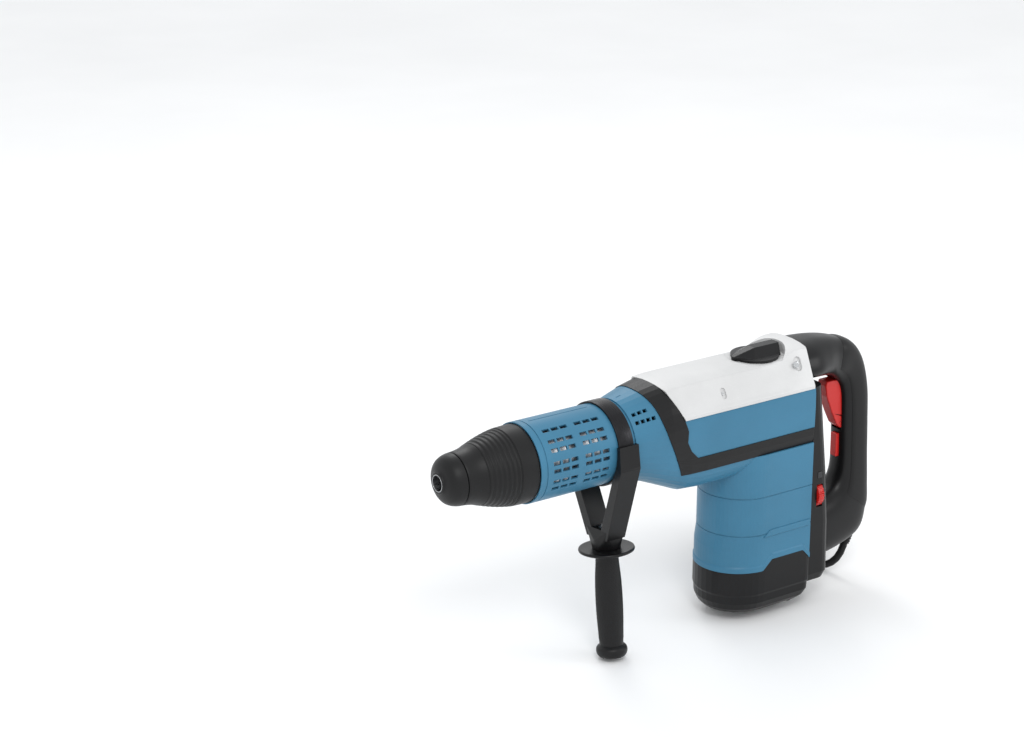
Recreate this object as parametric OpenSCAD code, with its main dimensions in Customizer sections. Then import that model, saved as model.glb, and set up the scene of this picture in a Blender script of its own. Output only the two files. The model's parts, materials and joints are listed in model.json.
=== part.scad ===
// Electric rotary hammer with a round shank socket, a swinging side handle and a damped D-handle.
// X runs along the tool axis from the mouth of the tool holder (X = 0) to the rear handle.
// Y is across the tool, Z is up, and the tool axis is Y = 0, Z = 0. Sizes are in millimetres.

/* [Barrel] */
// Outer radius of the ventilated barrel
barrel_r = 45.7; // [44:0.1:47]
// Wall of the plastic housings
wall = 3; // [2.5:0.1:3.5]
// Front edge of the barrel cover
barrel_x0 = 104; // [100:1:106]
// Joint between the barrel and the gearbox housing
barrel_x1 = 230; // [228:1:232]

/* [Tool holder] */
// Diameter of the tool shank
shank_d = 18; // [14:0.5:20]
// Depth of the shank socket
socket_depth = 100; // [90:1:102]

/* [Gearbox] */
// Rear face of the gearbox housing
body_x1 = 486; // [480:1:490]
// Half width of the housings
body_hw = 50; // [48:0.5:51]
// Height where the pale top cover begins
cover_z = 23; // [20:1:26]
// Upper and lower edge of the black side trim
trim_z1 = -25; // [-28:1:-24]
trim_z0 = -44; // [-46:1:-42]

/* [Motor] */
// Centre of the upright motor
motor_x = 418; // [414:1:422]
// Radius of the motor housing
motor_r = 49.5; // [48:0.5:50]
// Lower edge of the blue motor housing
cap_z1 = -188; // [-192:1:-184]
// Underside of the motor cap
cap_z0 = -243; // [-248:1:-238]

/* [Drive] */
// Gear module
gear_m = 2; // [2:1:2]
// Tooth counts of motor pinion, crank gear, idler gear and spindle gear
pinion_n = 8; // [8:1:8]
crank_n = 32; // [32:1:32]
idler_n = 12; // [12:1:12]
spindle_n = 36; // [36:1:36]
// Lower and upper face of the motor's gear train
gear_z0 = -59; // [-60:1:-58]
gear_z1 = -51; // [-52:1:-50]
// Throw of the crank
crank_throw = 14; // [10:1:15]

/* [Side handle] */
// Place of the clamp band along the barrel
clamp_x = 216; // [215:1:217]
// Radius of the hand guard disc
guard_r = 32; // [30:1:34]
// Lower end of the side handle, along its own axis
grip_z0 = -252; // [-254:1:-250]
// Swing of the side handle from upright
swing_a = -6; // [-12:1:12]

/* [Rear handle] */
// Half width of the grip
grip_hw = 18; // [17:0.5:19]

/* [Cord] */
// Diameter of the mains cord
cord_d = 9; // [8:0.5:10]

/* [Hidden] */
$fn = 64;
gap = 0.3;

blue = [0.25, 0.53, 0.71];
black = [0.10, 0.10, 0.11];
pale = [0.88, 0.88, 0.87];
steel = [0.70, 0.71, 0.73];
alloy = [0.62, 0.63, 0.65];
red = [0.80, 0.10, 0.08];
copper = [0.72, 0.42, 0.22];

// ---- general shapes ----

// A closed outline round the tool axis: half width, height above and depth below the axis.
side_pts = 40;
function sgn_pow(v, p) = sign(v) * pow(abs(v), p);
function oval(x, hw, up, dn, n) = [for (i = [0:side_pts - 1])
    let (a = -360 * i / side_pts, z = sgn_pow(sin(a), 2 / n))
    [x, hw * sgn_pow(cos(a), 2 / n), z * (z > 0 ? up : dn)]];

// A solid through a list of equal-length rings.
module skin(rings) {
    n = len(rings[0]);
    last = len(rings) - 1;
    walls = [for (r = [0:last - 1], i = [0:n - 1])
        let (a = r * n + i, b = r * n + (i + 1) % n)
        each [[a, b, b + n], [a, b + n, a + n]]];
    caps = [[for (i = [0:n - 1]) n - 1 - i], [for (i = [0:n - 1]) last * n + i]];
    polyhedron([for (r = rings) each r], concat(walls, caps), convexity = 8);
}

// A cylinder along X from x0 to x1.
module rod_x(x0, x1, r) translate([x0, 0, 0]) rotate([0, 90, 0]) cylinder(r = r, h = x1 - x0);

// A tube along X.
module tube_x(x0, x1, r_out, r_in) difference() {
    rod_x(x0, x1, r_out);
    rod_x(x0 - 1, x1 + 1, r_in);
}

// An upright cylinder from z0 to z1 at [x, y].
module post(x, y, z0, z1, r) translate([x, y, z0]) cylinder(r = r, h = z1 - z0);

// An upright tube.
module tube_z(x, z0, z1, r_out, r_in) difference() {
    post(x, 0, z0, z1, r_out);
    post(x, 0, z0 - 1, z1 + 1, r_in);
}

// A box from one corner to the other.
module block(a, b) translate(a) cube(b - a);

// An XZ outline drawn out across the tool from y0 to y1.
module across(points, y0 = -80, y1 = 80)
    translate([0, y1, 0]) rotate([90, 0, 0]) linear_extrude(y1 - y0) polygon(points);

// A spur gear about Z, with slim teeth that leave running clearance.
module spur(teeth, z0, z1, m = gear_m) {
    root = m * (teeth / 2 - 1.2);
    translate([0, 0, z0]) linear_extrude(z1 - z0) {
        circle(r = root);
        for (i = [0:teeth - 1]) rotate(360 * i / teeth)
            polygon([[root - 0.5, -0.8 * m], [root + 2 * m, -0.2 * m],
                [root + 2 * m, 0.2 * m], [root - 0.5, 0.8 * m]]);
    }
}

// ---- tool holder and hammer mechanism ----

module dust_cap() color(black) rotate([0, 90, 0]) rotate_extrude() polygon([
    [shank_d / 2 + 0.6, 0], [11.6, 0], [12.4, 1.6], [17, 3.2], [21.6, 5.4], [25, 8.6], [27.2, 12.6],
    [28.6, 17], [29.3, 21.4], [18, 21.4], [18, 9.2], [shank_d / 2 + 0.6, 9.2]]);

holder_r = 18;
tube_x0 = 176;
tube_r = 22;
module tool_holder() color(steel) difference() {
    union() {
        rod_x(0, 9.2, shank_d / 2 + 0.6);
        rod_x(9.2, tube_x0 + 8, holder_r);
    }
    rod_x(-1, socket_depth, shank_d / 2);
    rod_x(socket_depth - 1, tube_x0 + 9, 12);
    for (s = [-1, 1]) translate([40, 0, s * 13.5]) rotate([0, 90, 0]) cylinder(r = 4.3, h = 25);
}

module locking_rollers() color(steel) for (s = [-1, 1])
    translate([41.5, 0, s * 13.5]) rotate([0, 90, 0]) cylinder(r = 4.2, h = 22);

// The hammer tube turns with the tool holder and carries the spindle gear.
hammer_x1 = 318;
face_gear_r = 30.25;
module hammer_tube() color(steel) difference() {
    rod_x(tube_x0 + 8, hammer_x1, tube_r + 3);
    rod_x(tube_x0 + 16, hammer_x1 + 1, tube_r);
    rod_x(tube_x0, tube_x0 + 17, 12);
}

// A face gear: teeth point to the rear and meet the idler pinion from above.
module spindle_gear() color(steel) {
    tube_x(305, 318.5, 34, tube_r + 3);
    for (i = [0:spindle_n - 1]) rotate([360 * (i + 0.5) / spindle_n, 0, 0])
        block([318, -0.9, -face_gear_r - 3.2], [324.4, 0.9, -face_gear_r + 3.2]);
}

sleeve_x0 = 22.2;
module locking_sleeve() color(black) rotate([0, 90, 0]) rotate_extrude() polygon([
    [18.8, sleeve_x0], [29.6, sleeve_x0], [30.2, 30], [31.2, 36], [32.8, 41], [34.6, 46],
    [36.2, 50], [35.4, 51.4], [37.2, 54.4], [37.9, 55], [37.1, 56.4], [38.8, 59.4], [39.5, 60],
    [38.7, 61.4], [40.2, 64.4], [40.8, 65], [40.0, 66.4], [41.4, 69.4], [41.9, 70], [41.1, 71.4],
    [42.3, 74.4], [42.7, 75], [42, 76.4], [43, 79.4], [43.4, 82], [43.9, 90], [44, barrel_x0 - 0.4],
    [39, barrel_x0 - 0.4], [38, 84], [27, 58], [27, 40], [18.8, 40]]);

module sleeve_spring() color(steel) tube_x(48.3, 58, 22.5, 18);

module beat_piece() color(steel) {
    rod_x(socket_depth + 22, 196, 11.7);
    rod_x(socket_depth + 6, socket_depth + 22, 8.6);
}

module ram() color(steel) rod_x(226, 256, tube_r - 0.3);

piston_pin_x = 322;
crank_x = motor_x - gear_m * (pinion_n + crank_n) / 2;
module piston() color(alloy) difference() {
    rod_x(292, 328, tube_r - 0.3);
    block([300, -9, -9], [329, 9, 9]);
}

// The big end rides just above the crank pin.
module connecting_rod() color(alloy) {
    post(piston_pin_x - 14, 0, -6, 6, 7);
    post(crank_x + crank_throw, 0, -6, 6, 11);
    block([piston_pin_x - 14, -5, -5], [crank_x + crank_throw, 5, 5]);
}

module crankshaft() color(steel) {
    translate([crank_x, 0, 0]) rotate(180 / crank_n) spur(crank_n, gear_z0, gear_z1);
    post(crank_x, 0, -67, -18, 9);
    post(crank_x, 0, -18, -8, 24);
    post(crank_x + crank_throw, 0, -8, -6.4, 6);
}

idler_x = crank_x - gear_m * (crank_n + idler_n) / 2;
module idler_gear() color(steel) {
    translate([idler_x, 0, 0]) spur(idler_n, gear_z0, gear_z1);
    post(idler_x, 0, gear_z0 - 1, -28, 5);
    translate([idler_x, 0, 0]) spur(idler_n, -34, -28, 2 * face_gear_r / spindle_n);
}

// ---- barrel and gearbox housings ----

// Ventilation slots: angle above the near side, and the start of each group of three.
slot_rows = [61, 43, 30, 12, 1, -15, -27];
slot_groups = [120.5, 162.5];
slot_pitch = 11.6;
slot_len = 9.2;
slot_h = 4.4;
module barrel_cover() color(blue) difference() {
    rod_x(barrel_x0, barrel_x1, barrel_r);
    rod_x(barrel_x0 - 1, 116, 44.3);
    rod_x(115, barrel_x1 + 1, barrel_r - 2.6);
    tube_x(111.4, 112.6, barrel_r + 1, barrel_r - 0.7);
    for (side = [0, 1], a = slot_rows, x = slot_groups, k = [0:2])
        mirror([0, side, 0]) rotate([-a, 0, 0])
            block([x + slot_pitch * k, -barrel_r - 2, -slot_h / 2],
                [x + slot_pitch * k + slot_len, -38, slot_h / 2]);
    block([118, -0.6, barrel_r - 0.7], [196, 0.6, barrel_r + 2]);
}

module barrel_housing() color(alloy) difference() {
    union() {
        rod_x(114, barrel_x1, 39);
        rod_x(116.2, 120, barrel_r - 2.8);
        rod_x(198, barrel_x1, barrel_r - 2.8);
    }
    rod_x(113, 134, 26);
    rod_x(133, barrel_x1 + 1, 31);
}

module front_bearing() color(steel) tube_x(118, 132, 25.9, holder_r + 0.05);

// Rings of the gearbox housing: place, height, depth and squareness.
body_rows = [[barrel_x1, barrel_r + 1.6, barrel_r + 1.6, 2], [244, 50.5, 48.5, 2.2], [258, 54, 52, 2.4],
    [280, 58, 61, 2.6], [308, 58.5, 73, 2.8], [330, 58.5, 74, 3], [body_x1, 58.5, 74, 3]];
function body_rings(t) = [for (r = body_rows)
    oval(r[0] + (r[0] == barrel_x1 ? -t : r[0] == body_x1 ? t : 0),
        (r[0] == barrel_x1 ? r[1] : body_hw * (0.96 + 0.04 * min(1, (r[0] - barrel_x1) / 50))) - t,
        r[1] - t, r[2] - t, r[3])];

// Outline that the black front band covers, seen from the side.
band_outline = [[252, 70], [275, 70], [286, 43], [294, 27], [300, 10], [299, -3], [305, -15], [315, trim_z1],
    [287, trim_z1], [274, 5], [266, 26], [261, 44]];
front_outline = [[225, 80], [248, 80], [252, 70], [261, 44], [266, 26], [274, 5], [287, trim_z1],
    [296, trim_z0], [body_x1, trim_z0], [body_x1 + 1, -90], [225, -90]];
panel_outline = [[296, cover_z], [body_x1 + 1, cover_z], [body_x1 + 1, trim_z1], [315, trim_z1], [305, -15],
    [299, -3], [300, 10]];

// Plan of the motor: a round front and straight sides.
module motor_plan(z0, z1, r) {
    post(motor_x, 0, z0, z1, r);
    block([motor_x, -r, z0], [body_x1, r, z1]);
}

module body_shell() difference() {
    skin(body_rings(0));
    skin(body_rings(wall + 0.01));
}

// Square vents of the gearbox housing: how many, and their angle above the side.
vent_rows = [[3, 50], [4, 38]];
vent_x = 234.5;
vent_pitch = 6.6;
vent_len = 4.8;
vent_h = 4.2;
module gearbox_housing() color(blue) difference() {
    intersection() {
        body_shell();
        union() {
            across(front_outline);
            across(panel_outline);
        }
    }
    motor_plan(-95, trim_z0 + 0.01, motor_r + 0.01);
    for (row = vent_rows, k = [0:row[0] - 1], side = [0, 1])
        mirror([0, side, 0]) rotate([-row[1], 0, 0])
            block([vent_x + vent_pitch * k, -60, -vent_h / 2],
                [vent_x + vent_pitch * k + vent_len, -38, vent_h / 2]);
    block([232, -0.5, 48.5], [242, 0.5, 60]);
}

module front_band() color(black) intersection() {
    difference() {
        skin(body_rings(-0.9));
        skin(body_rings(wall + 0.01));
    }
    across(band_outline);
}

// The top cover rises behind the selector.
cover_rows = [[262, 55.2, 2.5], [280, 58, 2.6], [308, 58.5, 2.6], [430, 58.5, 2.6], [444, 62, 2.6],
    [458, 69, 2.7], [470, 71.5, 2.8], [body_x1, 72, 2.8]];
function cover_rings(t) = [for (r = cover_rows)
    oval(r[0] + (r[0] == 262 ? -t : r[0] == body_x1 ? t : 0),
        body_hw * (0.96 + 0.04 * min(1, (r[0] - barrel_x1) / 50)) - t, r[1] - t, 50, r[2])];
selector = [434, 0, 58.5];
knob_well_r = 34.5;
module top_cover() color(pale) difference() {
    intersection() {
        skin(cover_rings(0));
        across([[275, 70], [286, 43], [294, 27], [296, cover_z], [body_x1, cover_z],
            [body_x1, 80], [271, 80]]);
        union() {
            difference() {
                block([240, -60, 0], [500, 60, 80]);
                skin(cover_rings(wall + 0.01));
            }
            post(selector[0], 0, selector[2] - 3, 90, knob_well_r + 2.5);
        }
    }
    post(selector[0], 0, selector[2] - 0.2, 90, knob_well_r);
    post(selector[0], 0, 40, 90, 12.3);
    for (s = [-1, 1]) translate([462, s * 41, 54]) rotate([-s * 50, 0, 0]) hull() for (x = [-4, 4])
        translate([x, 0, -3]) cylinder(r = 5, h = 16, $fn = 24);
}

module side_trims() color(black) for (s = [-1, 1]) intersection() {
    difference() {
        skin(body_rings(-0.8));
        skin(body_rings(wall + 0.01));
    }
    across([[287, trim_z1], [296, trim_z0], [body_x1, trim_z0], [body_x1, trim_z1]],
        s > 0 ? 20 : -60, s > 0 ? 60 : -20);
}

// The knob is a wedge that points to the chosen mode, on a round plate.
module selector_knob() color(black) translate(selector) {
    post(0, 0, -3.6, 0.4, 12);
    post(0, 0, 0.1, 3, 28);
    hull() {
        block([-33, -2, 1], [-31, 2, 5]);
        block([-14, -17, 1], [24, 17, 3]);
        block([-6, -6, 1], [30, 6, 12.5]);
    }
}

// ---- motor ----

// Side outline where the black cap meets the blue motor housing.
cap_line = [[360, cap_z1], [415, cap_z1], [428, cap_z1 + 12], [475, cap_z1 + 12], [body_x1, cap_z1],
    [body_x1 + 10, cap_z1]];

// Rings of the motor housing: height, and how far its rounded front swells forward.
motor_swell = 3.2;
motor_rows = [[trim_z0, 0], [-146, 0], [-160, motor_swell], [-200, motor_swell]];
function motor_ring(z, swell) = [
    for (a = [90:6:270]) [motor_x + (motor_r + swell) * cos(a), motor_r * sin(a), z],
    [body_x1, -motor_r, z], [body_x1, motor_r, z]];

module motor_housing() color(blue) difference() {
    intersection() {
        skin([for (r = motor_rows) motor_ring(r[0], r[1])]);
        across(concat([[360, trim_z0 + 1]], cap_line, [[body_x1 + 10, trim_z0 + 1]]));
    }
    motor_plan(-201, trim_z0 + 1, motor_r - wall);
    for (z = [-96, -142.5]) difference() {
        motor_plan(z - 0.6, z + 0.6, motor_r + 2);
        motor_plan(z - 1, z + 1, motor_r - 0.7);
    }
    skin(body_rings(wall + 0.005));
}

// Rings of the motor cap, drawn in at its base.
cap_rows = [[cap_z1 + 30, 0.8], [-216, 0.8], [-219, 2], [-228, 2.4], [-236, 6], [-241, 11], [cap_z0, 16]];
cap_x1 = 492;
function cap_ring(z, t) = let (r = motor_r - t)
    [for (a = [90:9:270]) [motor_x + (r + motor_swell) * cos(a), r * sin(a), z],
     for (a = [-90:15:0]) [cap_x1 - t - 12 + 12 * cos(a), -(r - 12) + 12 * sin(a), z],
     for (a = [0:15:90]) [cap_x1 - t - 12 + 12 * cos(a), r - 12 + 12 * sin(a), z]];
function cap_rings(t) = [for (r = cap_rows) cap_ring(r[0] + (r[0] == cap_z0 ? t : 0), r[1] - 1.6 + t)];
module motor_cap() color(black) difference() {
    intersection() {
        skin(cap_rings(0));
        across(concat(cap_line, [[body_x1 + 10, -260], [360, -260]]));
    }
    skin(cap_rings(wall));
    motor_plan(cap_z1 - 2, -150, motor_r - wall);
    for (k = [-3:3]) block([440, 9 * k - 2, cap_z0 - 1], [478, 9 * k + 2, cap_z0 + 8]);
    block([body_x1, -60, -230], [body_x1 + 20, 60, -150]);
}

module base_pads() color(black) for (p = [[398, -20], [398, 20], [470, -30], [470, 30]])
    post(p[0], p[1], cap_z0 - 2, cap_z0, 5);

carrier_z0 = -48;
carrier_z1 = -40;
module gear_carrier() color(alloy) difference() {
    block([322, -38, carrier_z0], [438, 38, carrier_z1]);
    post(crank_x, 0, carrier_z0 - 1, carrier_z1 + 1, 17);
    post(idler_x, 0, carrier_z0 - 1, carrier_z1 + 1, 5.05);
}

module crank_bearing() color(steel) tube_z(crank_x, carrier_z0, carrier_z1, 17, 9.05);

module motor_bracket() color(alloy) difference() {
    union() {
        post(motor_x, 0, -92, -84, motor_r - wall);
        block([336, -18, -68.5], [400, 18, -64.5]);
        block([384, -18, -92], [400, 18, -64.5]);
    }
    post(motor_x, 0, -93, -60, 13);
    post(crank_x, 0, -71, -60, 9.05);
}

module rotor() color(copper) {
    post(motor_x, 0, -226, -50, 5);
    translate([motor_x, 0, 0]) rotate(0) spur(pinion_n, gear_z0, gear_z1);
    post(motor_x, 0, -176, -118, 24);
}

module commutator() color(copper) tube_z(motor_x, -206, -186, 14, 5);

module cooling_fan() color(black) {
    tube_z(motor_x, -112, -98, 10, 5);
    tube_z(motor_x, -112, -110, 40, 9);
    for (i = [0:10]) translate([motor_x, 0, 0]) rotate(360 * i / 11)
        block([9, -1, -111], [40, 1, -99]);
}

module upper_bearing() color(steel) tube_z(motor_x, -92, -84, 13, 5.05);

module lower_bearing() color(steel) tube_z(motor_x, -226, -219, 11, 5.05);

module stator() color(steel) tube_z(motor_x, -174, -120, 42, 24.6);

module brush_holder() color(black) difference() {
    union() {
        post(motor_x, 0, -230, -210, 18);
        block([motor_x - 12, -45.4, -214], [motor_x + 12, 45.4, -208]);
        for (s = [-1, 1]) block([motor_x - 7, s * 29 - 8, -208.5], [motor_x + 7, s * 29 + 8, -188]);
    }
    post(motor_x, 0, -227, -219, 11);
    post(motor_x, 0, -220, -205, 14.5);
    for (s = [-1, 1]) block([motor_x - 4, s * 26 - 12, -204], [motor_x + 4, s * 26 + 12, -192]);
}

module carbon_brushes() color(black) for (s = [-1, 1])
    block([motor_x - 3.9, s * 24 - 9.7, -203.9], [motor_x + 3.9, s * 24 + 9.7, -192.1]);

// ---- rear spine and electronics ----

// Rings of the spine: height, place of its rear face and half width.
spine_rows = [[cover_z, 503, 46.5], [-29, 508, 47.5], [-88, 514, 48.5], [-150, 519, 49], [-212, 521, 48],
    [-221, 518, 45]];
function spine_ring(z, x1, hw, t) = let (c = 13, r = x1 - c, w = hw - c)
    [[body_x1 + (t > 0 ? -1 : 0), hw - t, z], [body_x1 + (t > 0 ? -1 : 0), t - hw, z],
     for (a = [-90:18:0]) [r + (c - t) * cos(a), -w + (c - t) * sin(a), z],
     for (a = [0:18:90]) [r + (c - t) * cos(a), w + (c - t) * sin(a), z]];
function spine_rings(t) = [for (i = [0:len(spine_rows) - 1]) let (r = spine_rows[i])
    spine_ring(r[0] + (i == 0 ? -t : i == len(spine_rows) - 1 ? t : 0), r[1], r[2], t)];
dial = [499, -36.5, -113];
dial_r = 16;
dial_w = 8;
lower_arm_z = [-214, -141];
lower_arm_hw = 27;
module rear_spine() color(black) difference() {
    skin(spine_rings(0));
    skin(spine_rings(wall));
    block([dial[0] - dial_w / 2 - 0.6, -60, dial[2] - 14], [dial[0] + dial_w / 2 + 0.6, -44, dial[2] + 14]);
    block([496, -lower_arm_hw - 0.6, lower_arm_z[0] - 2], [530, lower_arm_hw + 0.6, lower_arm_z[1] + 3.6]);
    block([495, -50, -91], [502, -47.2, -83]);
}

module status_light() color(black) block([495.3, -48.8, -90.7], [501.7, -47.2, -83.3]);

module speed_dial() color(red) translate(dial) rotate([0, 90, 0]) {
    cylinder(r = dial_r, h = dial_w, center = true);
    for (i = [0:23]) rotate(15 * i) translate([dial_r, 0, 0]) cube([1, 1.4, dial_w], center = true);
}

module electronics_module() color(alloy) block([464, -30, -84], [485, 30, -12]);

// ---- rear handle ----

// Rings from the top arm round to the lower arm: inner point, outer point, half width, and how
// much narrower the outer side is.
handle_rows = [[480, 26, 480, 68.2, 48, 0.36], [502, 25, 502, 68, 47, 0.36], [522, 21, 524, 67, 37, 0.3],
    [541, 15, 547, 62.5, 25, 0.15], [555, 5, 573, 52, 19.5, 0], [561, -8, 591, 30, grip_hw, 0],
    [563, -28, 601, -6, grip_hw, 0], [564, -55, 604, -50, grip_hw, 0], [565, -90, 606, -92, grip_hw, 0],
    [563, -112, 608, -130, 19, 0], [556, -125, 608, -162, 21, 0], [545, -133, 596, -193, 24, 0],
    [530, -139, 556, -208, 26, 0], [506, lower_arm_z[1], 506, lower_arm_z[0], lower_arm_hw, 0]];
function handle_ring(r, t) = let (c = [(r[0] + r[2]) / 2, (r[1] + r[3]) / 2],
        d = [(r[2] - r[0]) / 2, (r[3] - r[1]) / 2], s = (norm(d) - t) / norm(d))
    [for (i = [0:27])
        let (a = 360 * i / 28, u = sgn_pow(cos(a), 0.72) * s, w = (r[4] - t) * (1 - r[5] * (1 + u) / 2))
        [c[0] + d[0] * u, w * sgn_pow(sin(a), 0.72), c[1] + d[1] * u]];
function handle_rings(t) = [for (r = handle_rows) handle_ring(r, t)];
trigger_pivot = [575, 0, -46];
module rear_handle() color(black) difference() {
    skin(handle_rings(0));
    skin([for (i = [0:8]) handle_ring(handle_rows[i] - [1, 0, 1, 0, 0, 0] * (i == 0 ? 1 : 0), 3.2)]);
    block([540, -8.4, -58], [574, 8.4, 15]);
    block([556, -5.4, -93], [572, 5.4, -63]);
    block([571.6, -7.4, -94.4], [577.6, 7.4, -61.6]);
    translate(trigger_pivot) rotate([90, 0, 0]) cylinder(r = 2.5, h = 60, center = true);
}

module handle_springs() color(steel) for (s = [-1, 1]) translate([488, 27 * s, 42])
    rotate([0, 90, 0]) difference() {
        cylinder(r = 5, h = 12);
        translate([0, 0, -1]) cylinder(r = 3.4, h = 14);
    }

module trigger() color(red) difference() {
    across([[540, 7], [538.5, 2], [541, -12], [550, -34], [558, -50], [564, -55.5], [572, -55.5], [580, -50],
        [580, -34], [566, 7]], -8, 8);
    translate(trigger_pivot) rotate([90, 0, 0]) cylinder(r = 2.55, h = 60, center = true);
}

module trigger_pin() color(steel)
    translate(trigger_pivot) rotate([90, 0, 0]) cylinder(r = 2.5, h = 33, center = true);

module lock_button() color(red) {
    block([560.6, -5, -92.6], [572, 5, -63.4]);
    block([572, -7, -94], [574, 7, -62]);
}

module switch_module() color(black) block([583, -9, -86], [598, 9, -34]);

// ---- side handle ----

// The side handle swings round the barrel; it is drawn upright and then swung.
module swung() rotate([swing_a, 0, 0]) children();

module clamp_band() color(black) swung() tube_x(clamp_x - 10, clamp_x + 10, barrel_r + 2.5, barrel_r + gap);

bracket_x = [clamp_x - 13.5, clamp_x + 13.4];
bracket_z0 = -122;
module bracket_arm(s) {
    hull() {
        block([bracket_x[0], s * 48 - 5.5, -22], [bracket_x[1], s * 48 + 5.5, -20]);
        block([bracket_x[0] + 0.6, s * 49 - 4, 4], [bracket_x[1] - 0.6, s * 49 + 4, 6]);
    }
    hull() {
        block([bracket_x[0], s * 48 - 5.5, -22], [bracket_x[1], s * 48 + 5.5, -20]);
        block([bracket_x[0] + 1, s * 12 - 7, -109], [bracket_x[1] - 1, s * 12 + 7, -107]);
    }
}
module handle_bracket() color(black) swung() difference() {
    union() {
        bracket_arm(-1);
        bracket_arm(1);
        hull() {
            block([bracket_x[0] + 1, -19, -100], [bracket_x[1] - 1, 19, -98]);
            post(clamp_x, 0, bracket_z0, bracket_z0 + 12, 16);
        }
    }
    rod_x(180, 240, barrel_r + 2.5);
    post(clamp_x, 0, -140, -60, 5.3);
    translate([clamp_x, 0, -106]) cylinder(r = 9.2, h = 40, $fn = 6);
}

module clamp_nut() color(steel) swung() difference() {
    translate([clamp_x, 0, -106]) cylinder(r = 9, h = 8, $fn = 6);
    post(clamp_x, 0, -107, -90, 5.3);
}

rod_z0 = -146;
module clamp_rod() color(steel) swung() post(clamp_x, 0, rod_z0, -95, 5);

guard_z1 = bracket_z0 - gap;
module guard_disc() color(black) swung() difference() {
    union() {
        post(clamp_x, 0, guard_z1 - 3.5, guard_z1, guard_r);
        translate([clamp_x, 0, guard_z1 - 6.5]) cylinder(r1 = 15, r2 = 22, h = 3);
    }
    post(clamp_x, 0, guard_z1 - 7, guard_z1 + 1, 5);
}

grip_z1 = guard_z1 - 6.5;
cap_h = 14.5;
grip_curve = [[0, grip_z1], [12.4, grip_z1], [12.9, -140], [14.6, -160], [15.3, -182], [15.1, -203],
    [14.2, -222], [13.8, grip_z0 + cap_h], [0, grip_z0 + cap_h]];
module side_grip() color(black) swung() difference() {
    translate([clamp_x, 0, 0]) rotate_extrude() polygon(grip_curve);
    post(clamp_x, 0, rod_z0, grip_z1 + 1, 5);
    post(clamp_x, 0, grip_z0 + 30, rod_z0, 7);
}

module grip_end_cap() color(black) swung() translate([clamp_x, 0, 0]) rotate_extrude() polygon([
    [0, grip_z0 + cap_h], [13.8, grip_z0 + cap_h], [17.2, grip_z0 + 11.5], [17.8, grip_z0 + 8],
    [17.2, grip_z0 + 2.5], [14.5, grip_z0], [0, grip_z0]]);

// ---- fasteners ----

module housing_screws() color(steel) {
    for (s = [-1, 1]) translate([462, s * 41, 54]) rotate([-s * 50, 0, 0])
        translate([0, 0, -3]) cylinder(r = 3.6, h = 2.4);
    for (x = [406, body_x1 - 8], y = [-14, 14]) post(x, y, cap_z0 - 0.6, cap_z0, 3.4);
}

// ---- mains cord ----

cord_r = cord_d / 2;
// The tool stands on a floor at the lowest point of the side handle.
floor_z = -254;
boot_top = [594, 0, -186];
boot_end = [586, 0, -211];
// Route of the cord's centre line from the boot to the outer turn of the coil.
lead_route = [[586, 0, -211], [585, 0, -214.5], [582, 1.3, -223.5], [579.5, 5, -232], [577.3, 11, -239.2],
    [576, 18.5, -244.4], [575.5, 27.4, -247.6], [576, 37, -248.8], [578.5, 47, -248.8], [583, 56.5, -248.8],
    [589, 64.8, -248.8], [596.8, 71.2, -248.8]];
coil_c = [550, 118];
coil_mid_r = 54;
coil_turns = 2.7;
coil_layers = 4;
coil_w = (coil_turns + 1) * cord_d;
coil_top = floor_z + coil_layers * cord_d;
// Angles round the coil: its start, the climb between layers and the tail that rises to the plug.
coil_start_a = -45;
coil_climb_a = 60;
tail_a = coil_start_a + 360 * coil_turns * coil_layers + coil_climb_a * (coil_layers - 1);
tail_sweep = 90;
plug_z = coil_top + 14;
tail_r = coil_mid_r + coil_turns * cord_r;
function smooth(u) = u * u * (3 - 2 * u);
function on_coil(a, r, z) = [coil_c[0] + r * cos(a), coil_c[1] + r * sin(a), z];
tail_route = [for (k = [0:8]) let (w = smooth(k / 8))
    on_coil(tail_a + tail_sweep * k / 8, tail_r + (coil_mid_r - tail_r) * w,
        coil_top - cord_r + (plug_z - coil_top + cord_r) * w)];

function unit(v) = v / norm(v);
module tube_along(p, r, sides) {
    n = len(p);
    skin([for (i = [0:n - 1])
        let (t = unit(p[min(i + 1, n - 1)] - p[max(i - 1, 0)]),
            u = unit(cross(t, [0.01, 1, 0.02])),
            v = cross(t, u))
        [for (k = [0:sides - 1]) p[i] + r * (cos(360 * k / sides) * u - sin(360 * k / sides) * v)]]);
}

module cord_boot() color(black) tube_along([boot_top, (boot_top + boot_end) / 2, boot_end], 7.5, 12);

module cord_lead() color(black) {
    tube_along(lead_route, cord_r, 10);
    tube_along(tail_route, cord_r, 10);
}

module cord_coil() color(black) translate([coil_c[0], coil_c[1], floor_z]) rotate_extrude()
    translate([coil_mid_r - coil_w / 2, 0]) square([coil_w, coil_layers * cord_d]);

// The plug lies on the coil and points along its turns.
plug_nose = 16;
plug_len = 34;
plug_half = 14;
pin_gap = 19;
pin_len = 19;
module power_plug() color(black) translate(on_coil(tail_a + tail_sweep, coil_mid_r, plug_z))
    rotate([0, 0, tail_a + tail_sweep]) {
        rotate([-90, 0, 0]) cylinder(r1 = 6.5, r2 = 9, h = plug_nose);
        block([-plug_half, plug_nose, -plug_half], [plug_half, plug_nose + plug_len, plug_half]);
        for (x = [-pin_gap / 2, pin_gap / 2]) translate([x, plug_nose + plug_len, 0])
            rotate([-90, 0, 0]) cylinder(r = 2.4, h = pin_len);
    }

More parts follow.
